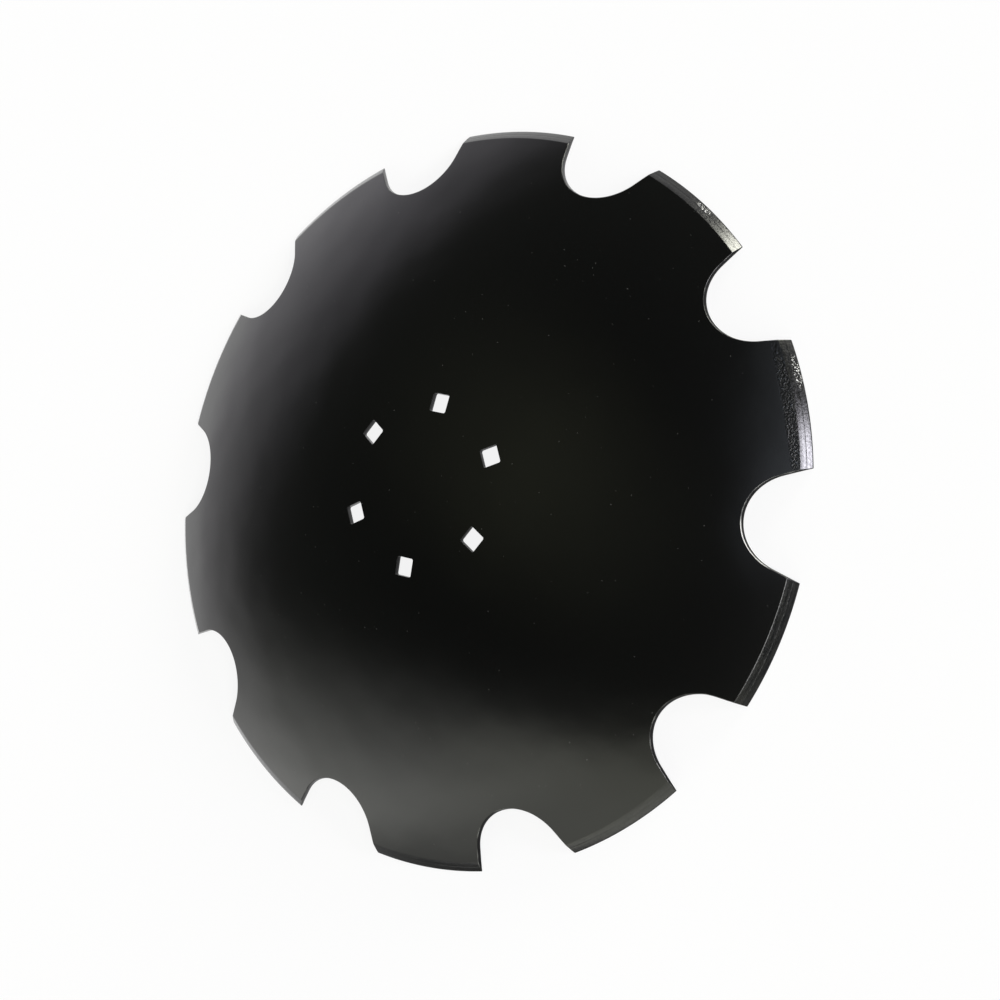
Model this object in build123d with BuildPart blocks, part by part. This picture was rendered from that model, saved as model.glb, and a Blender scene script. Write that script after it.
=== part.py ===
from build123d import *
from math import asin, cos, sin, sqrt
import os

# A notched harrow disc blade: one round of steel sheet, pressed to a shallow spherical dish,
# with scallops cut out of its rim, a ground cutting edge and square holes for the hub's bolts.
# It lies dome up on its cutting edges. The origin is the centre of the circle of those edges,
# +Z rises through the pole of the dome, and +X passes through one notch and one bolt hole.
# Lengths are in millimetres and angles in degrees.

# The dished sheet
blade_diameter = 610.0
sheet_thickness = 4.5
dish_radius = 625.0  # of the hollow face

# The scalloped rim
notch_count = 10
notch_depth = 45.2  # from the circle of the cutting edges in to the bottom of a notch
notch_radius = 39.2  # of the round bottom
notch_flare = 23.7  # between each straight side and the centre line of the notch
edge_break = 0.5  # on both arrises of a notch, which would cut the hand if left sharp

# The edge ground on the teeth, from the dome's side
bevel_width = 7.2  # as seen along the axis
edge_land = 1.0  # height of the blunt rim that the grinding leaves

# The square holes, punched square to the sheet
bolt_count = 6
bolt_circle = 133.5
bolt_hole_side = 15.0
bolt_hole_corner = 1.5

# How far each cutter runs past the metal
cutter_overrun = 5.0

# The two faces of the sheet are spheres about one centre, which lies below the origin
rim_radius = blade_diameter / 2
centre_drop = sqrt(dish_radius**2 - rim_radius**2)
dome_radius = dish_radius + sheet_thickness
dome_height = dome_radius - centre_drop


# The plan of one notch, on the +X side: a round bottom and two straight sides that flare
# outwards from it. They run on past the rim.
notch_centre = rim_radius - notch_depth + notch_radius
side_length = notch_depth + notch_radius
with BuildSketch() as notch_plan:
    with BuildLine():
        bottom = CenterArc((notch_centre, 0), notch_radius, 90 + notch_flare, 180 - 2 * notch_flare)
        left_side = PolarLine(bottom @ 0, side_length, notch_flare)
        right_side = PolarLine(bottom @ 1, side_length, -notch_flare)
        Line(left_side @ 1, right_side @ 1)
    make_face()


# The half section of the round blank, which a lathe or grinder would leave: the blunt rim, and
# the line of the bevel carried on inwards until it is above the pole
bevel_start = rim_radius - bevel_width
bevel_rise = sqrt(dome_radius**2 - bevel_start**2) - centre_drop - edge_land
blank_top = dome_height + cutter_overrun
blank_top_radius = rim_radius - (blank_top - edge_land) * bevel_width / bevel_rise
with BuildSketch(Plane.XZ) as blank_section:
    with BuildLine():
        Polyline(
            (0, 0),
            (rim_radius, 0),
            (rim_radius, edge_land),
            (blank_top_radius, blank_top),
            (0, blank_top),
            close=True,
        )
    make_face()


# The punch for one bolt hole, on the +X side. Its axis passes through the centre of the dish,
# so the hole is square to the sheet, and two of its sides face the pole.
hole_lean = asin(bolt_circle / 2 / dome_radius)
punch_plane = Plane(
    origin=(0, 0, -centre_drop),
    x_dir=(cos(hole_lean), 0, -sin(hole_lean)),
    z_dir=(sin(hole_lean), 0, cos(hole_lean)),
)
with BuildPart() as square_punch:
    with BuildSketch(punch_plane.offset(dish_radius - cutter_overrun)):
        RectangleRounded(bolt_hole_side, bolt_hole_side, bolt_hole_corner)
    extrude(amount=sheet_thickness + 2 * cutter_overrun)


with BuildPart() as disc_blade:
    # The sheet, as the shell between two spheres. They lie on their sides, which keeps their own
    # poles and seams out of it.
    with Locations((0, 0, -centre_drop)):
        Sphere(dome_radius, rotation=(90, 0, 0))
        Sphere(dish_radius, rotation=(90, 0, 0), mode=Mode.SUBTRACT)

    # The rim and the ground bevel, turned about the blade's axis
    add(blank_section.sketch)
    revolve(axis=Axis.Z, mode=Mode.INTERSECT)

    # The notches, cut straight down the axis, which leaves the bevel on the teeth alone
    with BuildSketch(Plane.XY.offset(-cutter_overrun)):
        with PolarLocations(0, notch_count):
            add(notch_plan.sketch)
    extrude(amount=dome_height + 2 * cutter_overrun, mode=Mode.SUBTRACT)

    # The broken arrises of the notches, on both faces of the sheet. The arcs of the rim, which
    # are the lowest edges of each face, stay as they were ground.
    for sheet_face in disc_blade.faces().filter_by(GeomType.SPHERE):
        rim_arcs = sheet_face.edges().group_by(Axis.Z)[0]
        chamfer(sheet_face.edges() - rim_arcs, length=edge_break)

    # The bolt holes
    with PolarLocations(0, bolt_count):
        add(square_punch.part, mode=Mode.SUBTRACT)

disc_blade.part.label = "disc_blade"

os.makedirs("parts", exist_ok=True)
export_step(disc_blade.part, "parts/disc_blade.step")

print("dome height", round(dome_height, 2), "mm, volume", round(disc_blade.part.volume), "mm3")
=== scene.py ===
# %% [markdown]
# # A notched harrow disc blade, in black enamel
#
# The real blade starts as a flat round of spring steel. It is pressed to a shallow dish, ten
# scallops and six square holes are punched through it, the dome's side of each tooth is ground
# to an edge, and the whole is dipped or sprayed black. The engineering model is loaded first.
# It fixes the place and the size of everything that follows.

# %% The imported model
from math import cos, pi, radians, sin, sqrt

import bmesh
import bpy
import numpy as np
from mathutils import Euler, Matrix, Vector


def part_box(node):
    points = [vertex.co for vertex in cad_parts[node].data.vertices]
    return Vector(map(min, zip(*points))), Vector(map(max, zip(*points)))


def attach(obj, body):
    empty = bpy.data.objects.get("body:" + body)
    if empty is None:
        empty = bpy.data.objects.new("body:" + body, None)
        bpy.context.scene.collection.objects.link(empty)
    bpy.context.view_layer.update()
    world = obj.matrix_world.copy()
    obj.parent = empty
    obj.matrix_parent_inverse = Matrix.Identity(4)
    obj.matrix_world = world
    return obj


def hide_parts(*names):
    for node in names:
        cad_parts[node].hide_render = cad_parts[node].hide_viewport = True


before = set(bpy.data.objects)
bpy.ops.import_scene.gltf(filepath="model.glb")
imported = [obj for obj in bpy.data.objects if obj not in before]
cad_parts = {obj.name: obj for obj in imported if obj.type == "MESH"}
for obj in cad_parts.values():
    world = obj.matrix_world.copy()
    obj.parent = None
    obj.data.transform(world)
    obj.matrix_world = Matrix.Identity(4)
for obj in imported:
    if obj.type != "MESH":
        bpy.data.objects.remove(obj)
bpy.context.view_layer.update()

blade_low, blade_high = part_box("disc_blade")
print("the blade's box in metres:", [round(v, 4) for v in blade_high - blade_low])

# %% [markdown]
# ## Measures
#
# A disc blade is described by few numbers: its diameter, the thickness of the sheet and the
# radius of the dish. They are repeated here in millimetres, because the surfaces below are
# worked out in millimetres and turned to metres at the very end. The dome's own radius is taken
# from the model's height, so the new surface can't stand above the old one.

# %% Measures
MM = 0.001
RIM = 305.0  # radius of the circle of cutting edges
DISH = 625.0  # radius of the hollow face
CENTRE_DROP = sqrt(DISH**2 - RIM**2)  # how far under the floor both spheres have their centre
DOME = blade_high.z / MM + CENTRE_DROP

NOTCHES = 10
NOTCH_CENTRE = 299.0  # radius at which the round bottom of a notch has its centre
NOTCH_RADIUS = 39.2
FLARE = radians(23.7)  # between a notch's straight flank and its centre line

BEVEL_START = 297.8  # the radius at which the ground bevel begins
EDGE_LAND = 1.0  # height of the blunt edge

HOLES = 6
HOLE_CIRCLE = 66.75  # radius of the circle of holes, on the dome
HOLE_HALF = 7.5  # half a side
HOLE_CORNER = 1.5

# Small rounds that dipping and handling leave on the arrises
NOTCH_ARRIS = 0.5
RIM_ARRIS = 0.2
HOLE_ARRIS = 0.15
TOOTH_CORNER = 0.5

print("dome radius", round(DOME, 2), "mm, thickness", round(DOME - DISH, 2), "mm")

# %% [markdown]
# ## Two spheres and a cone
#
# The faces of a pressed disc are parts of two spheres about one centre, and the bevel is nearly
# a cone, which the grinder cuts while the disc turns. All three are heights above a plan, so
# every patch of the blade can be drawn flat and then lifted. Lifting keeps the faces exactly
# round, which matters here: a gloss black surface is seen almost only by what it mirrors, and a
# dent of a hair's breadth would show. A soft wheel leaves the bevel a little convex, and its two
# passes leave a fine groove between them.


# %% Heights
def sphere_height(points, radius):
    """Height of a sphere over plan points: root of (radius squared less distance squared),
    less the depth of its centre."""
    return np.sqrt(radius**2 - (points**2).sum(axis=-1)) - CENTRE_DROP


BEVEL_TOP = sqrt(DOME**2 - BEVEL_START**2) - CENTRE_DROP
BEVEL_SLOPE = (BEVEL_TOP - EDGE_LAND) / (RIM - BEVEL_START)
BULGE = 0.3  # of the middle of the bevel above a straight cone
GROOVE_RADIUS = 301.3
GROOVE_HALF = 0.4  # half its width
GROOVE_DEPTH = 0.2


def top_height(points):
    """Height of the upper side: the lower of the dome and the bevel. The bevel is a cone, plus a
    parabola that is highest midway across, less a small V for the groove."""
    out = np.hypot(points[..., 0], points[..., 1])
    cone = EDGE_LAND + (RIM - out) * BEVEL_SLOPE
    across = np.clip((out - BEVEL_START) / (RIM - BEVEL_START), 0, 1)
    bulge = 4 * BULGE * across * (1 - across)
    groove = GROOVE_DEPTH * np.clip(1 - np.abs(out - GROOVE_RADIUS) / GROOVE_HALF, 0, None)
    return np.minimum(sphere_height(points, DOME), cone + bulge - groove)


def hollow_height(points):
    """Height of the under side: the inner sphere."""
    return sphere_height(points, DISH)


def lift(points, height):
    """Plan points with their heights added as a third coordinate."""
    return np.concatenate([points, height(points)[..., None]], axis=-1)


print("bevel slope", round(np.degrees(np.arctan(BEVEL_SLOPE)), 1), "degrees")

# %% [markdown]
# ## The scalloped outline
#
# One notch is a round bottom and two straight flanks. From the bottom of a notch to the middle
# of the next tooth the outline is an arc, a straight line, a tiny corner round and an arc of
# the rim. That half pitch is worked out once, with the direction that points into the steel at
# each sample. Mirrored and turned ten times, it is the whole outline.


# %% Half a pitch of the outline
def direction(angle):
    """Unit vectors in the plan at the angles, as the last axis."""
    return np.stack([np.cos(angle), np.sin(angle)], axis=-1)


def along(origin, heading, lengths):
    """Points on a straight line: its origin plus each length times its heading."""
    return origin + np.asarray(lengths)[:, None] * heading


def reach(origin, heading, radius):
    """Length along a line, from its origin, at which it leaves a circle about the plan's own
    origin: the larger root of the quadratic for distance equal to radius."""
    half = origin @ heading
    return -half + sqrt(half**2 - origin @ origin + radius**2)


flank_heading = direction(FLARE)
into_tooth = direction(FLARE + pi / 2)
flank_start = np.array([NOTCH_CENTRE, 0.0]) + NOTCH_RADIUS * into_tooth
corner_length = reach(flank_start + TOOTH_CORNER * into_tooth, flank_heading, RIM - TOOTH_CORNER)
corner_centre = flank_start + TOOTH_CORNER * into_tooth + corner_length * flank_heading
corner_angle = np.arctan2(corner_centre[1], corner_centre[0])
crease_length = reach(flank_start + NOTCH_ARRIS * into_tooth, flank_heading, BEVEL_START)

ARC_STEPS, FLANK_STEPS, CORNER_STEPS, RIM_STEPS = 20, 6, 4, 14
GROOVE_ROWS = GROOVE_RADIUS + GROOVE_HALF * np.array([-1.6, -1, 0, 1, 1.6])
BEVEL_RADII = [BEVEL_START + 0.35, BEVEL_START + 1.7, *GROOVE_ROWS, RIM - 1.8]

arc_angles = np.linspace(pi, FLARE + pi / 2, ARC_STEPS + 1)[:-1]
flank_lengths = np.linspace(0, crease_length, FLANK_STEPS + 1)
crease_point = flank_start + NOTCH_ARRIS * into_tooth
bevel_lengths = [reach(crease_point, flank_heading, radius) for radius in BEVEL_RADII]
bevel_lengths = np.array(bevel_lengths + [corner_length])
corner_angles = np.linspace(FLARE - pi / 2, corner_angle, CORNER_STEPS + 1)[1:]
rim_angles = np.linspace(corner_angle, pi / NOTCHES, RIM_STEPS + 1)[1:]

half_outline = np.concatenate([
    np.array([NOTCH_CENTRE, 0.0]) + NOTCH_RADIUS * direction(arc_angles),
    along(flank_start, flank_heading, flank_lengths),
    along(flank_start, flank_heading, bevel_lengths),
    corner_centre + TOOTH_CORNER * direction(corner_angles),
    RIM * direction(rim_angles),
])
half_inward = np.concatenate([
    direction(arc_angles),
    np.tile(into_tooth, (len(flank_lengths) + len(bevel_lengths), 1)),
    -direction(corner_angles),
    -direction(rim_angles),
])
crease_at = ARC_STEPS + FLANK_STEPS  # the sample where the bevel meets the notch
corner_at = crease_at + len(bevel_lengths) + CORNER_STEPS // 2  # the tip of the tooth's corner
half_arris = np.interp(
    np.arange(len(half_outline)), [crease_at, corner_at], [NOTCH_ARRIS, RIM_ARRIS]
)
print("half a pitch has", len(half_outline), "samples")


# %% The whole outline
def turn(points, angles):
    """Copies of plan points turned by each angle, with the copies along a new first axis."""
    c, s = np.cos(angles)[:, None], np.sin(angles)[:, None]
    x, y = points[:, 0], points[:, 1]
    return np.stack([c * x - s * y, s * x + c * y], axis=-1)


PITCHES = np.arange(NOTCHES) * 2 * pi / NOTCHES


def all_round(half):
    """A half pitch, mirrored about its notch and turned ten times, as one closed ring that
    starts at the middle of a tooth. The samples that two copies share are kept once."""
    mirrored = half[:0:-1] * (1, -1)
    return turn(np.concatenate([mirrored, half[:-1]]), PITCHES).reshape(-1, 2)


outline = all_round(half_outline)
inward = all_round(half_inward)
arris = np.tile(np.concatenate([half_arris[:0:-1], half_arris[:-1]]), NOTCHES)
print("the outline has", len(outline), "samples")

# %% [markdown]
# ## Patches
#
# A closed surface with notches and holes has no single grid, so it is put together from grids
# that share their borders point for point, as a sheet-metal worker joins panels. Each one is
# kept with its finish and with the way it faces. They are merged at the end, and the seams
# vanish.


# %% A list of patches
# The last finish, on the upper round of the cut edge, holds wear and a painted highlight.
ENAMEL, GROUND, SHEARED, WORN_AND_HIGHLIGHT = 0, 1, 2, 3
patches = []


def add_patch(points, turned, closed=True, finish=ENAMEL):
    """Keeps one grid of points, rows first. A grid whose columns go round is closed, and a
    turned one has the corners of its quads in the other order, so that it faces out."""
    patches.append((points, turned, closed, finish))


def blend_rows(inner, outer, shares):
    """Rows between two curves: each is one share of the way from the inner to the outer."""
    shares = np.asarray(shares)[:, None, None]
    return inner * (1 - shares) + outer * shares


def on_both_faces(plan, closed=True, upper_finish=ENAMEL):
    """Lifts one plan grid twice, to the upper side and to the hollow side."""
    add_patch(lift(plan, top_height), True, closed, upper_finish)
    add_patch(lift(plan, hollow_height), False, closed)


# %% [markdown]
# ## The toothed field
#
# Outside the bolt holes the sheet runs from a plain circle to the notches and to the line where
# grinding starts. Straight rows joining the two do well, as long as they crowd together near
# the border, where the arris turns and the mirrored light changes fast.

# %% The field between the hub's circle and the notches
HUB_CIRCLE = 105.0
crease_inset = flank_start + NOTCH_ARRIS * into_tooth + crease_length * flank_heading
crease_angle = np.arctan2(crease_inset[1], crease_inset[0])

tooth_samples = half_outline[corner_at:]
tooth_angles = np.arctan2(tooth_samples[:, 1], tooth_samples[:, 0])
across_tooth = (tooth_angles - tooth_angles[0]) / (tooth_angles[-1] - tooth_angles[0])
crease_angles = crease_angle + across_tooth * (pi / NOTCHES - crease_angle)

half_inset = half_outline + half_arris[:, None] * half_inward
half_field = np.concatenate([
    half_inset[: crease_at],
    BEVEL_START * direction(crease_angles),
])
field_border = all_round(half_field)
ring_angles = -pi / NOTCHES + np.arange(len(field_border)) * 2 * pi / len(field_border)
hub_ring = HUB_CIRCLE * direction(ring_angles)

FIELD_ROWS = [0, 0.08, 0.17, 0.27, 0.37, 0.47, 0.57, 0.67, 0.76, 0.84, 0.9, 0.945, 0.972,
              0.987, 0.995, 0.9985, 1]
on_both_faces(blend_rows(hub_ring, field_border, FIELD_ROWS))
print("field:", len(field_border), "columns,", len(FIELD_ROWS), "rows")

# %% [markdown]
# ## The ground bevels
#
# Each tooth has its own bevel, a four-sided patch between the crease, two notch flanks and the
# rim. A Coons patch fills four curves with a net: it adds the two ways of joining opposite
# sides and takes away the flat net between the corners, which was counted twice.


# %% The bevel of one tooth, and nine copies
def coons(lower, upper, left, right, across, up):
    """A net between four curves: lower to upper by the share up, plus left to right by the
    share across, less the same two blends of the four corners alone."""
    across, up = across[None, :, None], up[:, None, None]
    ruled_up = (1 - up) * lower[None] + up * upper[None]
    ruled_across = (1 - across) * left[:, None] + across * right[:, None]
    near = (1 - across) * lower[0] + across * lower[-1]
    far = (1 - across) * upper[0] + across * upper[-1]
    return ruled_up + ruled_across - (1 - up) * near - up * far


def mirrored_about_tooth(points):
    """A curve of the half pitch, as seen in the tooth's middle line."""
    angle = 2 * pi / NOTCHES
    x, y = points[:, 0], points[:, 1]
    return np.stack([cos(angle) * x + sin(angle) * y, sin(angle) * x - cos(angle) * y], axis=-1)


half_crease = BEVEL_START * direction(crease_angles)
half_rim = half_inset[corner_at:]
side = np.concatenate([half_crease[:1], half_inset[crease_at + 1 : corner_at + 1]])
side_radii = np.hypot(side[:, 0], side[:, 1])
up_share = (side_radii - side_radii[0]) / (side_radii[-1] - side_radii[0])
across_share = np.concatenate([across_tooth / 2, 1 - across_tooth[-2::-1] / 2])

bevel = coons(
    np.concatenate([half_crease, mirrored_about_tooth(half_crease)[-2::-1]]),
    np.concatenate([half_rim, mirrored_about_tooth(half_rim)[-2::-1]]),
    side,
    mirrored_about_tooth(side),
    across_share,
    up_share,
)
rows, columns = bevel.shape[:2]
for tooth in turn(bevel.reshape(-1, 2), PITCHES):
    on_both_faces(tooth.reshape(rows, columns, 2), closed=False, upper_finish=GROUND)
print("bevel:", rows, "rows by", columns, "columns")

# %% [markdown]
# ## The cut edge
#
# Punching leaves a wall straight down through the sheet. Its two arrises are rounded a little
# by tumbling and by the enamel, which draws back from a sharp edge. It is a profile carried
# along the outline: a quarter round, a drop, and a quarter round. The drop was torn rather than
# cut, so it is duller than the rounds. The upper round of the notches is worn by handling and
# carries a painted highlight as well.


# %% The wall of the notches and the rim
QUARTER = np.linspace(0, pi / 2, 4)


def add_edge(rows, turned, upper_finish=ENAMEL):
    """Adds a cut edge: the rows of a quarter round, a drop, and the rows of a quarter round."""
    after = len(QUARTER)
    add_patch(rows[:after], turned, finish=upper_finish)
    add_patch(rows[after - 1 : after + 1], turned, finish=SHEARED)
    add_patch(rows[after:], turned)


upper_rows = [
    lift(outline + (arris * (1 - sin(t)))[:, None] * inward, top_height)
    - np.outer(arris * (1 - cos(t)), (0, 0, 1))
    for t in QUARTER
]
lower_rows = [
    lift(outline + (arris * (1 - sin(t)))[:, None] * inward, hollow_height)
    + np.outer(arris * (1 - cos(t)), (0, 0, 1))
    for t in QUARTER[::-1]
]
add_edge(np.stack(upper_rows + lower_rows), True, WORN_AND_HIGHLIGHT)
print("wall:", len(upper_rows) + len(lower_rows), "rows")

# %% [markdown]
# ## The bolt holes
#
# A square neck under the head of each bolt sits in a square hole, which keeps the bolt from
# turning. The punch struck square to the sheet, so each hole leans outwards by six degrees, as
# the dish does there. A point of the hole is found from the dish's centre: so far across, so
# far up, and then out to the sphere.


# %% One square hole
hole_lean = np.arcsin(HOLE_CIRCLE / DOME)
hole_axis = np.array([sin(hole_lean), 0, cos(hole_lean)])
hole_out = np.array([cos(hole_lean), 0, -sin(hole_lean)])
hole_side = np.array([0.0, 1.0, 0.0])


def rounded_square(angles, grow):
    """Plan points on a square with round corners, at the angles seen from its middle. On a
    side the distance is the half width over the cosine. Within a corner's arc it is where the
    ray meets the corner's circle. Growing it moves the outline out by a distance."""
    half, corner = HOLE_HALF + grow, HOLE_CORNER + grow
    folded = np.abs((angles + pi / 4) % (pi / 2) - pi / 4)
    flat = half / np.cos(folded)
    middle = half - corner
    ray = direction(folded)
    inner = ray @ np.array([middle, middle])
    to_arc = inner + np.sqrt(np.clip(inner**2 - 2 * middle**2 + corner**2, 0, None))
    on_corner = flat * np.sin(folded) > middle
    return np.where(on_corner, to_arc, flat)[:, None] * direction(angles)


def hole_curve(angles, radius, grow=0.0, sunk=0.0):
    """Points of a hole on the sphere of that radius about the dish's centre, moved along the
    hole's axis by sunk."""
    square = rounded_square(angles, grow)
    rise = np.sqrt(radius**2 - (square**2).sum(axis=-1)) - sunk
    points = np.outer(square[:, 0], hole_out) + np.outer(square[:, 1], hole_side)
    return points + np.outer(rise, hole_axis) - (0, 0, CENTRE_DROP)


# %% [markdown]
# Round each hole the sheet is a sixth of a ring. Rays from the middle of the hole reach the
# border of that sector, and each ray carries one column of the patch, from the square out to
# the border. The border has the same points as the field outside and as the cap inside.

# %% The sector round a hole
CAP_CIRCLE = 30.0
CAP_COLUMNS = 72
SPOKE_STEPS = 40
sector = pi / HOLES
outer_count = len(field_border) // HOLES
outer_arc = HUB_CIRCLE * direction(np.linspace(-sector, sector, outer_count + 1))
inner_arc = CAP_CIRCLE * direction(np.linspace(sector, -sector, CAP_COLUMNS // HOLES + 1))
radii = np.linspace(HUB_CIRCLE, CAP_CIRCLE, SPOKE_STEPS + 1)[:, None]
sector_border = np.concatenate([
    outer_arc[:-1],
    (radii * direction(np.array([sector])))[:-1],
    inner_arc[:-1],
    (radii[::-1] * direction(np.array([-sector])))[:-1],
])
rays = sector_border - (HOLE_CIRCLE, 0)
ray_angles = np.arctan2(rays[:, 1], rays[:, 0])

SECTOR_ROWS = [0, 0.006, 0.02, 0.06, 0.14, 0.27, 0.44, 0.63, 0.82, 1]
sector_plans = [
    blend_rows(hole_curve(ray_angles, radius, HOLE_ARRIS)[:, :2], sector_border, SECTOR_ROWS)
    for radius in (DOME, DISH)
]
hole_wall = np.stack(
    [hole_curve(ray_angles, DOME, HOLE_ARRIS * (1 - sin(t)), HOLE_ARRIS * (1 - cos(t)))
     for t in QUARTER]
    + [hole_curve(ray_angles, DISH, HOLE_ARRIS * (1 - sin(t)), -HOLE_ARRIS * (1 - cos(t)))
       for t in QUARTER[::-1]]
)


def turned_grid(grid, angle):
    """A grid of points turned about the blade's axis."""
    c, s = cos(angle), sin(angle)
    x, y = grid[..., 0], grid[..., 1]
    return np.concatenate(
        [np.stack([c * x - s * y, s * x + c * y], axis=-1), grid[..., 2:]], axis=-1
    )


cap_angles = np.arange(CAP_COLUMNS) * 2 * pi / CAP_COLUMNS
cap_plan = np.linspace(0, CAP_CIRCLE, 5)[:, None, None] * direction(cap_angles)
for number in range(HOLES):
    angle = number * 2 * pi / HOLES
    add_patch(lift(turned_grid(sector_plans[0], angle), top_height), True)
    add_patch(lift(turned_grid(sector_plans[1], angle), hollow_height), False)
    add_edge(turned_grid(hole_wall, angle), False)
on_both_faces(cap_plan)
print("hole sector:", len(SECTOR_ROWS), "rows by", len(sector_border), "columns")

# %% [markdown]
# ## Joining the patches
#
# The grids become one mesh. Points that lie on each other are merged, which also closes the
# pole, where a whole row is one point. A mesh that holds water has two faces at every edge and
# a positive volume, and both are printed.


# %% One closed mesh
def grid_quads(rows, columns, closed, first, turned):
    """The corner numbers of a grid's quads, whole columns at once."""
    row = np.arange(rows - 1)[:, None] * columns
    column = np.arange(columns if closed else columns - 1)[None, :]
    after = (column + 1) % columns
    corners = [row + column, row + after, row + columns + after, row + columns + column]
    quads = np.stack(corners, axis=-1).reshape(-1, 4) + first
    return quads[:, ::-1] if turned else quads


points, quads, finishes = [], [], []
first = 0
for grid, turned, closed, finish in patches:
    points.append(grid.reshape(-1, 3))
    quads.append(grid_quads(*grid.shape[:2], closed, first, turned))
    finishes.append(np.full(len(quads[-1]), finish))
    first += len(points[-1])

blade_mesh = bpy.data.meshes.new("blade")
blade_mesh.from_pydata(np.concatenate(points) * MM, [], np.concatenate(quads).tolist())
blade_mesh.polygons.foreach_set("material_index", np.concatenate(finishes))

net = bmesh.new()
net.from_mesh(blade_mesh)
bmesh.ops.remove_doubles(net, verts=net.verts, dist=1e-6)
bmesh.ops.dissolve_degenerate(net, edges=net.edges, dist=1e-8)
open_edges = sum(len(edge.link_faces) != 2 for edge in net.edges)
print("open edges:", open_edges, " volume in cm3:", round(net.calc_volume(signed=True) * 1e6, 1))
net.to_mesh(blade_mesh)
net.free()
blade_mesh.shade_smooth()
print("triangles:", sum(len(face.vertices) - 2 for face in blade_mesh.polygons))

blade = bpy.data.objects.new("blade", blade_mesh)
bpy.context.scene.collection.objects.link(blade)

# %% [markdown]
# ## Coordinates along the rim
#
# Grinding marks run round the blade, so their pattern needs a coordinate that does the same.
# A UV map gives it: the way round the rim, in metres, and the distance from the middle.

# %% A UV map that follows the rim
corner_vertices = np.empty(len(blade_mesh.loops), np.int32)
blade_mesh.loops.foreach_get("vertex_index", corner_vertices)
places = np.empty(len(blade_mesh.vertices) * 3)
blade_mesh.vertices.foreach_get("co", places)
places = places.reshape(-1, 3)
round_rim = np.arctan2(places[:, 1], places[:, 0]) * RIM * MM
from_middle = np.hypot(places[:, 0], places[:, 1])
rim_map = blade_mesh.uv_layers.new(name="rim_map")
rim_map.data.foreach_set("uv", np.stack([round_rim, from_middle], -1)[corner_vertices].ravel())

# %% [markdown]
# ## Finishes
#
# Every colour is written as the sRGB hex value that a colour picker would show, and one
# function turns it to the linear values that the shader wants. One more function adds a node,
# and the last marks out a patch by the rim, for the few places that were knocked or rubbed and
# for one painted highlight.


# %% Helpers for materials
def colour(hex_value):
    """An sRGB hex colour as linear red, green, blue and alpha: a value over 0.04045 is raised
    to 2.4 after adding 0.055 and dividing by 1.055, and a smaller one is divided by 12.92."""
    srgb = np.array([int(hex_value[i : i + 2], 16) / 255 for i in (1, 3, 5)])
    linear = np.where(srgb > 0.04045, ((srgb + 0.055) / 1.055) ** 2.4, srgb / 12.92)
    return (*linear.tolist(), 1.0)


def add_node(tree, kind, sockets=None, **options):
    """Adds one node. The options are its own settings. Each socket gets a number or colour, or
    a link where the value given is another node's output."""
    new = tree.nodes.new(kind)
    for name, value in options.items():
        setattr(new, name, value)
    for name, value in (sockets or {}).items():
        if isinstance(value, bpy.types.NodeSocket):
            tree.links.new(value, new.inputs[name])
        else:
            new.inputs[name].default_value = value
    return new


def new_material(name):
    """An empty material and its node tree."""
    material = bpy.data.materials.new(name)
    material.use_nodes = True
    material.node_tree.nodes.clear()
    return material, material.node_tree


def patch_on_rim(tree, along_rim, azimuth, half_length, radius, half_width):
    """1 over most of an oval patch by the rim, fading to 0 at its edge. The distance from its
    middle is measured along and across, each as a share of the patch's half size. The azimuth
    is in degrees from +X, and the other three are in millimetres."""
    middle = (-radians(azimuth) * RIM / half_length, -radius / half_width, 0)
    near = add_node(
        tree, "ShaderNodeMapping",
        {"Vector": along_rim, "Location": middle,
         "Scale": (1 / (half_length * MM), 1 / (half_width * MM), 1)},
    )
    away = add_node(
        tree, "ShaderNodeVectorMath", {0: near.outputs["Vector"]}, operation="LENGTH"
    )
    return add_node(
        tree, "ShaderNodeMapRange",
        {"Value": away.outputs["Value"], "From Min": 1.0, "From Max": 0.7},
    ).outputs["Result"]


# %% [markdown]
# ## Black enamel on pressed steel
#
# The blade is dipped in a black baking enamel. Its own colour is nearly nothing, so what the
# eye gets is a soft mirror: light sources show with blurred edges, because the film dries with
# a fine orange peel over steel that was never polished, with short waves from the rolling mill
# and long ones from the press, which bend the edge of every mirrored light a little.
# A few specks of dust sit on it, and by the edge of one tooth the film has scuffed to flakes.

# %% Black enamel
enamel, tree = new_material("black_enamel_on_pressed_steel")
place = add_node(tree, "ShaderNodeTexCoord").outputs["Object"]
along_rim = add_node(tree, "ShaderNodeUVMap", uv_map="rim_map").outputs["UV"]

PEEL = 1.6  # mm between the waves of the orange peel
PEEL_DEPTH = 0.0035  # mm
WAVE = 9.0  # mm
WAVE_DEPTH = 0.02  # mm
SWELL = 55.0  # mm, the long waves
SWELL_DEPTH = 0.55  # mm
DUST_SPACING = 9.0  # mm
DUST_SIZE = 0.5  # mm, drawn as coarse as it needs to show
FLAKE = 1.6  # mm, drawn as coarse as it needs to show
FLAKE_DEPTH = 0.6  # mm, likewise
SCUFFED = 53.5, 62.0, 294.5, 5.5  # azimuth, half length, radius and half width of the strip

peel = add_node(
    tree, "ShaderNodeTexNoise", {"Vector": place, "Scale": 1 / (PEEL * MM), "Detail": 1.0}
)
waves = add_node(
    tree, "ShaderNodeTexNoise", {"Vector": place, "Scale": 1 / (WAVE * MM), "Detail": 1.0}
)
swell = add_node(
    tree, "ShaderNodeTexNoise", {"Vector": place, "Scale": 1 / (SWELL * MM), "Detail": 1.0}
)
swelling = add_node(
    tree, "ShaderNodeBump", {"Height": swell.outputs["Fac"], "Distance": SWELL_DEPTH * MM}
)
wavy = add_node(
    tree, "ShaderNodeBump",
    {"Height": waves.outputs["Fac"], "Distance": WAVE_DEPTH * MM,
     "Normal": swelling.outputs["Normal"]},
)
peeled = add_node(
    tree, "ShaderNodeBump",
    {"Height": peel.outputs["Fac"], "Distance": PEEL_DEPTH * MM, "Normal": wavy.outputs["Normal"]},
)
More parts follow.
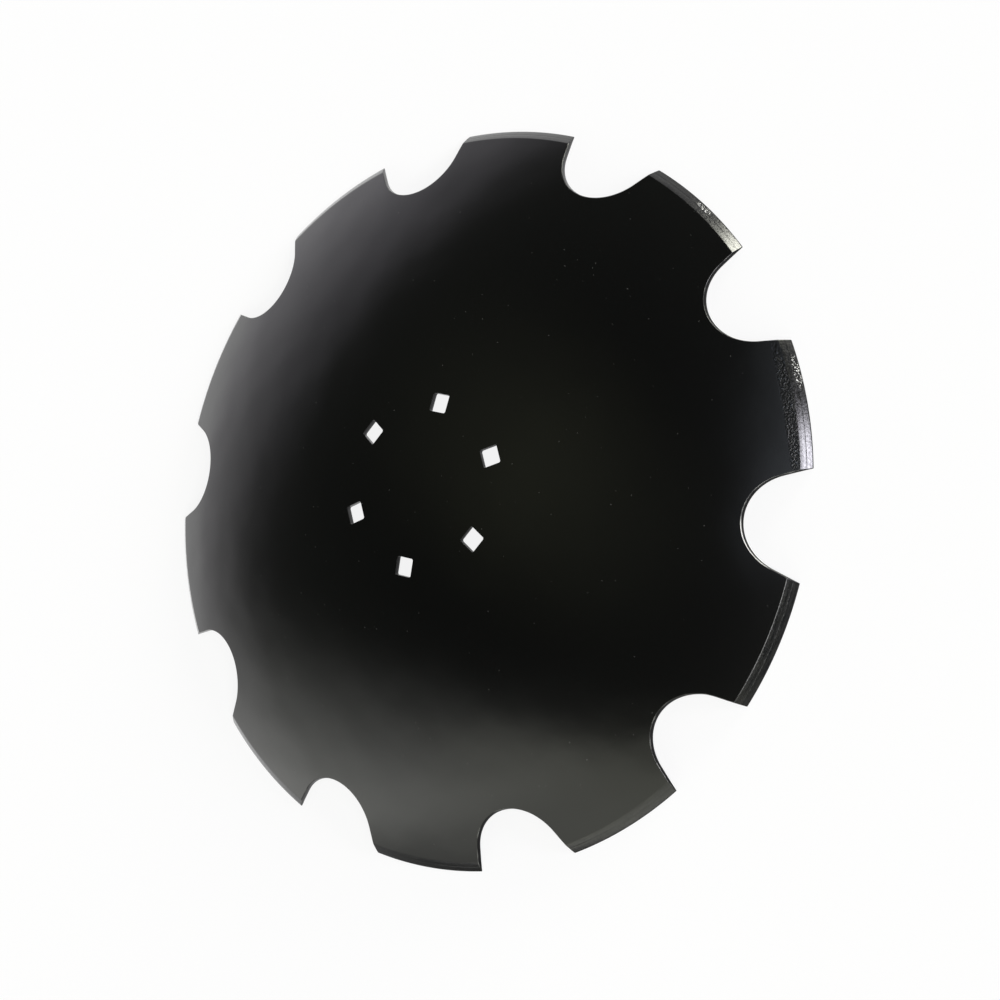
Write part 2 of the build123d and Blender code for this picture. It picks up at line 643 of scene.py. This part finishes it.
cells = add_node(
    tree, "ShaderNodeTexVoronoi", {"Vector": place, "Scale": 1 / (DUST_SPACING * MM)}
)
each_cell = add_node(tree, "ShaderNodeSeparateColor", {"Color": cells.outputs["Color"]})
speck = add_node(
    tree, "ShaderNodeMapRange",
    {"Value": cells.outputs["Distance"], "From Min": DUST_SIZE / DUST_SPACING,
     "From Max": 0.6 * DUST_SIZE / DUST_SPACING, "To Min": 0.0,
     "To Max": each_cell.outputs["Red"]},
)
film = add_node(
    tree, "ShaderNodeMix", {0: speck.outputs["Result"], 6: colour("#060606"), 7: colour("#4c4c4a")},
    data_type="RGBA",
)
scuffed = patch_on_rim(tree, along_rim, *SCUFFED)
flakes = add_node(
    tree, "ShaderNodeTexNoise", {"Vector": place, "Scale": 1 / (FLAKE * MM), "Detail": 3.0}
)
bumps = add_node(
    tree, "ShaderNodeBump",
    {"Height": flakes.outputs["Fac"], "Distance": FLAKE_DEPTH * MM, "Strength": scuffed,
     "Normal": peeled.outputs["Normal"]},
)
lifted = add_node(
    tree, "ShaderNodeMapRange",
    {"Value": flakes.outputs["Fac"], "From Min": 0.62, "From Max": 0.74, "To Max": scuffed},
)
coat = add_node(
    tree, "ShaderNodeMix", {0: lifted.outputs[0], 6: film.outputs[2], 7: colour("#3a3f46")},
    data_type="RGBA",
)
shader = add_node(
    tree, "ShaderNodeBsdfPrincipled",
    {"Base Color": coat.outputs[2], "Roughness": 0.17, "IOR": 1.5,
     "Normal": bumps.outputs["Normal"]},
)
add_node(tree, "ShaderNodeOutputMaterial", {"Surface": shader.outputs["BSDF"]})

# %% [markdown]
# ## Thin enamel over ground steel
#
# The bevel is ground after punching and gets the same enamel, but grinding marks show through
# it: fine lines round the rim that stretch each highlight along the edge, and the coarser
# mottle of a wheel that chattered. Where handling knocked two teeth, bare steel shows in chips.

# %% Enamel over grinding marks
ground, tree = new_material("thin_enamel_on_ground_steel")
place = add_node(tree, "ShaderNodeTexCoord").outputs["Object"]
along_rim = add_node(tree, "ShaderNodeUVMap", uv_map="rim_map").outputs["UV"]

MARK_LENGTH = 14.0  # mm
MARK_WIDTH = 0.5  # mm
MARK_DEPTH = 0.02  # mm
MOTTLE = 1.6  # mm
MOTTLE_DEPTH = 0.05  # mm
CHIP = 1.0  # mm
CHIPPED = (58.8, 15.0, 303.2, 2.3), (89.2, 9.0, 303.0, 1.8)  # two patches, as above

marks_at = add_node(
    tree, "ShaderNodeMapping",
    {"Vector": along_rim, "Scale": (1 / (MARK_LENGTH * MM), 1 / (MARK_WIDTH * MM), 1)},
)
marks = add_node(
    tree, "ShaderNodeTexNoise", {"Vector": marks_at.outputs["Vector"], "Scale": 1.0, "Detail": 2.0}
)
mottle = add_node(
    tree, "ShaderNodeTexNoise", {"Vector": place, "Scale": 1 / (MOTTLE * MM), "Detail": 2.0}
)
mottled = add_node(
    tree, "ShaderNodeBump", {"Height": mottle.outputs["Fac"], "Distance": MOTTLE_DEPTH * MM}
)
relief = add_node(
    tree, "ShaderNodeBump",
    {"Height": marks.outputs["Fac"], "Distance": MARK_DEPTH * MM,
     "Normal": mottled.outputs["Normal"]},
)
thin = add_node(
    tree, "ShaderNodeMapRange", {"Value": marks.outputs["Fac"], "From Min": 0.42, "From Max": 0.62}
)
film = add_node(
    tree, "ShaderNodeMix", {0: thin.outputs[0], 6: colour("#08090b"), 7: colour("#1b1b19")},
    data_type="RGBA",
)
gloss = add_node(
    tree, "ShaderNodeMapRange",
    {"Value": mottle.outputs["Fac"], "From Min": 0.3, "From Max": 0.7, "To Min": 0.10,
     "To Max": 0.26},
)
chipped = add_node(
    tree, "ShaderNodeMath",
    {0: patch_on_rim(tree, along_rim, *CHIPPED[0]),
     1: patch_on_rim(tree, along_rim, *CHIPPED[1])},
    operation="MAXIMUM",
)
chips = add_node(
    tree, "ShaderNodeTexNoise", {"Vector": place, "Scale": 1 / (CHIP * MM), "Detail": 1.0}
)
chip = add_node(
    tree, "ShaderNodeMapRange",
    {"Value": chips.outputs["Fac"], "From Min": 0.57, "From Max": 0.65,
     "To Max": chipped.outputs[0]},
)
coat = add_node(
    tree, "ShaderNodeMix", {0: chip.outputs[0], 6: film.outputs[2], 7: colour("#d8d8d4")},
    data_type="RGBA",
)
shader = add_node(
    tree, "ShaderNodeBsdfPrincipled",
    {"Base Color": coat.outputs[2], "Roughness": gloss.outputs[0], "IOR": 1.5,
     "Normal": relief.outputs["Normal"]},
)
add_node(tree, "ShaderNodeOutputMaterial", {"Surface": shader.outputs["BSDF"]})

# %% [markdown]
# ## Thin enamel over sheared steel
#
# The punch cuts the first part of the sheet and tears the rest, so the wall of a notch or hole
# is rough under its enamel, with fine marks straight down it. To the eye it is a dull black
# beside the glossy faces, and what it mirrors is smeared.

# %% Enamel over a torn wall
sheared, tree = new_material("thin_enamel_on_sheared_steel")
place = add_node(tree, "ShaderNodeTexCoord").outputs["Object"]

TEAR_WIDTH = 0.9  # mm, drawn as coarse as it needs to show
TEAR_LENGTH = 5.0  # mm
TEAR_DEPTH = 0.05  # mm

tears_at = add_node(
    tree, "ShaderNodeMapping",
    {"Vector": place,
     "Scale": (1 / (TEAR_WIDTH * MM), 1 / (TEAR_WIDTH * MM), 1 / (TEAR_LENGTH * MM))},
)
tears = add_node(
    tree, "ShaderNodeTexNoise", {"Vector": tears_at.outputs["Vector"], "Scale": 1.0, "Detail": 2.0}
)
relief = add_node(
    tree, "ShaderNodeBump", {"Height": tears.outputs["Fac"], "Distance": TEAR_DEPTH * MM}
)
shader = add_node(
    tree, "ShaderNodeBsdfPrincipled",
    {"Base Color": colour("#080808"), "Roughness": 0.32, "IOR": 1.5,
     "Normal": relief.outputs["Normal"]},
)
add_node(tree, "ShaderNodeOutputMaterial", {"Surface": shader.outputs["BSDF"]})

# %% [markdown]
# ## Worn enamel and a painted highlight on the arris
#
# Enamel is thinnest on a sharp edge, and handling rubs it away there first. A fine grey line,
# which comes and goes, is painted along the notches: partly worn enamel and partly a painted
# highlight. On one flank a bright patch is painted, a painted highlight.
# The rim, which was ground last of all, keeps its black edge.

# %% Enamel worn to the steel, with painted highlights
worn_and_highlight, tree = new_material("worn_enamel_and_painted_highlight_on_the_arris")
place = add_node(tree, "ShaderNodeTexCoord").outputs["Object"]
along_rim = add_node(tree, "ShaderNodeUVMap", uv_map="rim_map").outputs["UV"]

RUB_AND_HIGHLIGHT = 11.0  # mm
# The grey line that fades out here is partly worn enamel and partly a painted highlight.
RUB_AND_HIGHLIGHT_ENDS = 301.0, 303.0  # mm from the middle, between which the wear fades out
# Painted highlight: the patch below is painted bright on one notch's arris, as if rubbed to the
# steel.
HIGHLIGHT_PATCH = 31.8, 26.0, 268.0, 24.0  # the patch that is rubbed to the steel

rubs_and_highlight = add_node(
    tree, "ShaderNodeTexNoise", {"Vector": place, "Scale": 1 / (RUB_AND_HIGHLIGHT * MM), "Detail": 3.0}
)
from_axis = add_node(tree, "ShaderNodeSeparateXYZ", {"Vector": along_rim}).outputs["Y"]
in_notch = add_node(
    tree, "ShaderNodeMapRange",
    {"Value": from_axis, "From Min": RUB_AND_HIGHLIGHT_ENDS[1] * MM, "From Max": RUB_AND_HIGHLIGHT_ENDS[0] * MM},
)
# Wear and painted highlight: a grey line painted along the notches' upper arris.
rubbed_and_highlight = add_node(
    tree, "ShaderNodeMapRange",
    {"Value": rubs_and_highlight.outputs["Fac"], "From Min": 0.50, "From Max": 0.68,
     "To Max": in_notch.outputs["Result"]},
)
coat = add_node(
    tree, "ShaderNodeMix", {0: rubbed_and_highlight.outputs[0], 6: colour("#0a0a0a"), 7: colour("#5a5a57")},
    data_type="RGBA",
)
# Painted highlight: a bright patch painted on one notch's arris.
highlight_patch = add_node(
    tree, "ShaderNodeMix",
    {0: patch_on_rim(tree, along_rim, *HIGHLIGHT_PATCH), 6: coat.outputs[2], 7: colour("#b4b4b0")},
    data_type="RGBA",
)
shader = add_node(
    tree, "ShaderNodeBsdfPrincipled",
    {"Base Color": highlight_patch.outputs[2], "Roughness": 0.3, "IOR": 1.5},
)
add_node(tree, "ShaderNodeOutputMaterial", {"Surface": shader.outputs["BSDF"]})

for material in (enamel, ground, sheared, worn_and_highlight):
    blade_mesh.materials.append(material)

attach(blade, "root")
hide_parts("disc_blade")

# %% [markdown]
# ## The floor
#
# The blade lies on a plain white floor. The camera sees it mostly at full white, and the rest is
# an ordinary matt white that takes the blade's soft shadow. Mirrored rays see only its glow, and
# that glow is painted light: painted shade on the photographer's side and painted light past
# white on the far side, fading across the floor. The cut walls and the bevels mirror both.

# %% Directions, and the floor
def towards(azimuth, elevation):
    """The unit vector to a place in the room: azimuth from +X towards +Y, elevation above the
    floor, both in degrees."""
    a, e = radians(azimuth), radians(elevation)
    return Vector((cos(a) * cos(e), sin(a) * cos(e), sin(e)))


FLOOR_GLOW = 0.88
FLOOR_HALF = 20.0  # m
FLOOR_GAP = -0.0004  # m, below the cutting edges
FADE_AZIMUTH = 190.0  # degrees, away from the photographer
FADE_FROM, FADE_TO = -0.15, 0.15  # m along it
SHADED_GLOW, LIT_GLOW = 0.20, 1.37

floor_corners = [
    (x * FLOOR_HALF, y * FLOOR_HALF, FLOOR_GAP) for x, y in ((-1, -1), (1, -1), (1, 1), (-1, 1))
]
floor_mesh = bpy.data.meshes.new("floor")
floor_mesh.from_pydata(floor_corners, [], [(0, 1, 2, 3)])
floor = bpy.data.objects.new("floor", floor_mesh)
bpy.context.scene.collection.objects.link(floor)

paper, tree = new_material("matt_white_paper")
place = add_node(tree, "ShaderNodeTexCoord").outputs["Object"]
ray = add_node(tree, "ShaderNodeLightPath").outputs
away = add_node(
    tree, "ShaderNodeVectorMath", {0: place, 1: towards(FADE_AZIMUTH, 0)}, operation="DOT_PRODUCT"
)
# Painted light and shade: for mirrored rays the floor's glow is painted dim on the photographer's
# side and past white on the far side.
painted_glow_fade = add_node(
    tree, "ShaderNodeMapRange",
    {"Value": away.outputs["Value"], "From Min": FADE_FROM, "From Max": FADE_TO,
     "To Min": SHADED_GLOW, "To Max": LIT_GLOW},
    interpolation_type="SMOOTHSTEP",
)
brightness = add_node(
    tree, "ShaderNodeMix",
    {0: ray["Is Camera Ray"], 2: painted_glow_fade.outputs["Result"], 3: 1.0},
)
matt = add_node(tree, "ShaderNodeBsdfDiffuse", {"Color": colour("#f7f7f7")})
glow = add_node(
    tree, "ShaderNodeEmission", {"Color": colour("#ffffff"), "Strength": brightness.outputs[0]}
)
mirror_or_glass = add_node(
    tree, "ShaderNodeMath", {0: ray["Is Glossy Ray"], 1: ray["Is Transmission Ray"]},
    operation="MAXIMUM",
)
for_camera = add_node(
    tree, "ShaderNodeMath", {0: ray["Is Camera Ray"], 1: FLOOR_GLOW}, operation="MULTIPLY"
)
share = add_node(
    tree, "ShaderNodeMath", {0: for_camera.outputs[0], 1: mirror_or_glass.outputs[0]},
    operation="MAXIMUM",
)
look = add_node(
    tree, "ShaderNodeMixShader", {0: share.outputs[0], 1: matt.outputs[0], 2: glow.outputs[0]}
)
add_node(tree, "ShaderNodeOutputMaterial", {"Surface": look.outputs[0]})
floor_mesh.materials.append(paper)

# %% [markdown]
# ## Studio light
#
# A glossy black thing shows the room, so the room is part of the finish. Near the floor the
# studio is white all round, and it darkens upwards to a plain dark ceiling. Large diffusers
# with feathered edges stand about it. All of this is the world's colour by direction, which
# gives the soft borders that the photographed enamel mirrors, and lights the floor evenly.

# %% Tools for the room
world = bpy.data.worlds.new("studio")
bpy.context.scene.world = world
world.use_nodes = True
tree = world.node_tree
tree.nodes.clear()
toward = add_node(tree, "ShaderNodeTexCoord").outputs["Generated"]


def within(axis, ahead, half, feather):
    """1 inside a band about the diffuser's middle and 0 outside it, with a smooth step. The
    place in the diffuser's plane is the part along its axis over the part straight ahead."""
    part = add_node(tree, "ShaderNodeVectorMath", {0: toward, 1: axis}, operation="DOT_PRODUCT")
    place = add_node(
        tree, "ShaderNodeMath", {0: part.outputs["Value"], 1: ahead}, operation="DIVIDE"
    )
    away = add_node(tree, "ShaderNodeMath", {0: place.outputs[0]}, operation="ABSOLUTE")
    step = {"Value": away.outputs[0], "From Min": half + feather, "From Max": half - feather}
    return add_node(
        tree, "ShaderNodeMapRange", step, interpolation_type="SMOOTHSTEP"
    ).outputs["Result"]


def outline_of(azimuth, elevation, half_size, feather, roll):
    """1 where a flat panel is and 0 round it. Its sizes are tangents: half a width over the
    distance, so that 1 is 45 degrees."""
    straight = towards(azimuth, elevation)
    level = Vector((0, 0, 1)).cross(straight).normalized()
    upright = straight.cross(level)
    c, s = cos(radians(roll)), sin(radians(roll))
    part = add_node(
        tree, "ShaderNodeVectorMath", {0: toward, 1: straight}, operation="DOT_PRODUCT"
    )
    ahead = add_node(
        tree, "ShaderNodeMath", {0: part.outputs["Value"], 1: 0.001}, operation="MAXIMUM"
    ).outputs[0]
    sockets = {
        0: within(c * level + s * upright, ahead, half_size[0], feather[0]),
        1: within(c * upright - s * level, ahead, half_size[1], feather[1]),
    }
    return add_node(tree, "ShaderNodeMath", sockets, operation="MULTIPLY").outputs[0]


def diffuser(behind, azimuth, elevation, half_size, feather, roll, radiance, tint):
    """Adds a flat diffuser's light to the colour behind it."""
    mask = outline_of(azimuth, elevation, half_size, feather, roll)
    light = add_node(
        tree, "ShaderNodeVectorMath", {0: radiance * Vector(colour(tint)[:3]), "Scale": mask},
        operation="SCALE",
    ).outputs[0]
    return add_node(
        tree, "ShaderNodeVectorMath", {0: behind, 1: light}, operation="ADD"
    ).outputs[0]


def card(behind, azimuth, elevation, half_size, feather, roll, depth):
    """Holds a black card before the colour behind it, and takes the share depth out of it."""
    mask = outline_of(azimuth, elevation, half_size, feather, roll)
    left = add_node(
        tree, "ShaderNodeMath", {0: mask, 1: -depth, 2: 1.0}, operation="MULTIPLY_ADD"
    ).outputs[0]
    return add_node(
        tree, "ShaderNodeVectorMath", {0: behind, "Scale": left}, operation="SCALE"
    ).outputs[0]


# %% The walls and the ceiling
WALL_LEVELS = [
    (0, 0.90, "#fffdff"), (10, 0.51, "#fffeff"), (20, 0.105, "#fbfff8"), (32, 0.08, "#f6fff0"),
    (50, 0.053, "#f6fff0"), (70, 0.03, "#f6fff0"), (90, 0.034, "#f6fff0"),
]
up = add_node(tree, "ShaderNodeSeparateXYZ", {"Vector": toward}).outputs["Z"]
ramp = add_node(tree, "ShaderNodeValToRGB", {"Fac": up})
stops = ramp.color_ramp.elements
while len(stops) < len(WALL_LEVELS):
    stops.new(0.5)
for stop, (elevation, level, tint) in zip(stops, WALL_LEVELS):
    stop.position = sin(radians(elevation))
    stop.color = [level * part for part in colour(tint)[:3]] + [1.0]
room = ramp.outputs["Color"]

# %% The diffusers
# A long panel gives the sheen over the lower teeth, with one beside it for the teeth to the
# right, and a low one gives the grey along the far rim. Then come an olive patch high up and a
# blue glow. One black card darkens the tip of the lowest tooth in the photograph, and a second
# the bevel of the tooth at its right.
room = diffuser(room, 265.5, 24, (0.55, 0.02), (0.65, 0.52), 40, 5.0, "#fefff9")
room = diffuser(room, 316, 28, (0.58, 0.49), (0.59, 0.10), -10, 1.35, "#fdffed")
room = diffuser(room, 179.5, -22.5, (0.30, 1.12), (1.17, 0.26), 5.5, 1.05, "#f8f4ff")
room = diffuser(room, 189, 73.5, (0.25, 0.02), (0.24, 0.86), -4.5, 0.41, "#f9ffd3")
room = diffuser(room, 67, 55, (0.36, 0.02), (0.11, 0.21), -27, 2.2, "#e9f1ff")
room = card(room, 270, 15, (0.68, 0.18), (0.85, 0.08), 50, 0.77)
room = card(room, 5, 18, (0.25, 0.14), (0.25, 0.10), 0, 0.45)

# Two small bright ones shine in the bevels of two teeth. The last is the key light, at a height
# that neither the dome nor a bevel mirrors to the camera.
room = diffuser(room, 54, 18, (0.15, 0.12), (0.07, 0.09), 0, 30.0, "#f6f4ff")
room = diffuser(room, 100, 6, (0.165, 0.20), (0.06, 0.10), 0, 30.0, "#fffff2")
room = diffuser(room, 22, 41, (0.36, 0.09), (0.12, 0.07), 0, 12.0, "#ffffff")

# %% Room
lit = add_node(tree, "ShaderNodeBackground", {"Color": room, "Strength": 1.0})
white = add_node(tree, "ShaderNodeBackground", {"Color": colour("#ffffff"), "Strength": 1.0})
ray = add_node(tree, "ShaderNodeLightPath").outputs
look = add_node(
    tree, "ShaderNodeMixShader", {0: ray["Is Camera Ray"], 1: lit.outputs[0], 2: white.outputs[0]}
)
add_node(tree, "ShaderNodeOutputWorld", {"Surface": look.outputs[0]})

# %% [markdown]
# ## Camera
#
# The photograph looks down on the dome from one side. The camera's place and lens were worked
# out from the outline, the holes and the bevels of the blade in it, in this model's frame.

# %% Camera
camera = bpy.data.objects.new("camera", bpy.data.cameras.new("camera"))
camera.data.lens = 94.41
camera.data.sensor_width = 36.0
camera.location = (1.0314, 0.5967, 1.7957)
camera.rotation_euler = Euler([radians(v) for v in (7.855, 32.199, 44.498)])
camera.data.clip_end = 100
bpy.context.scene.collection.objects.link(camera)
bpy.context.scene.camera = camera
bpy.context.scene.view_settings.view_transform = "Standard"

# %% The end
bpy.context.view_layer.update()
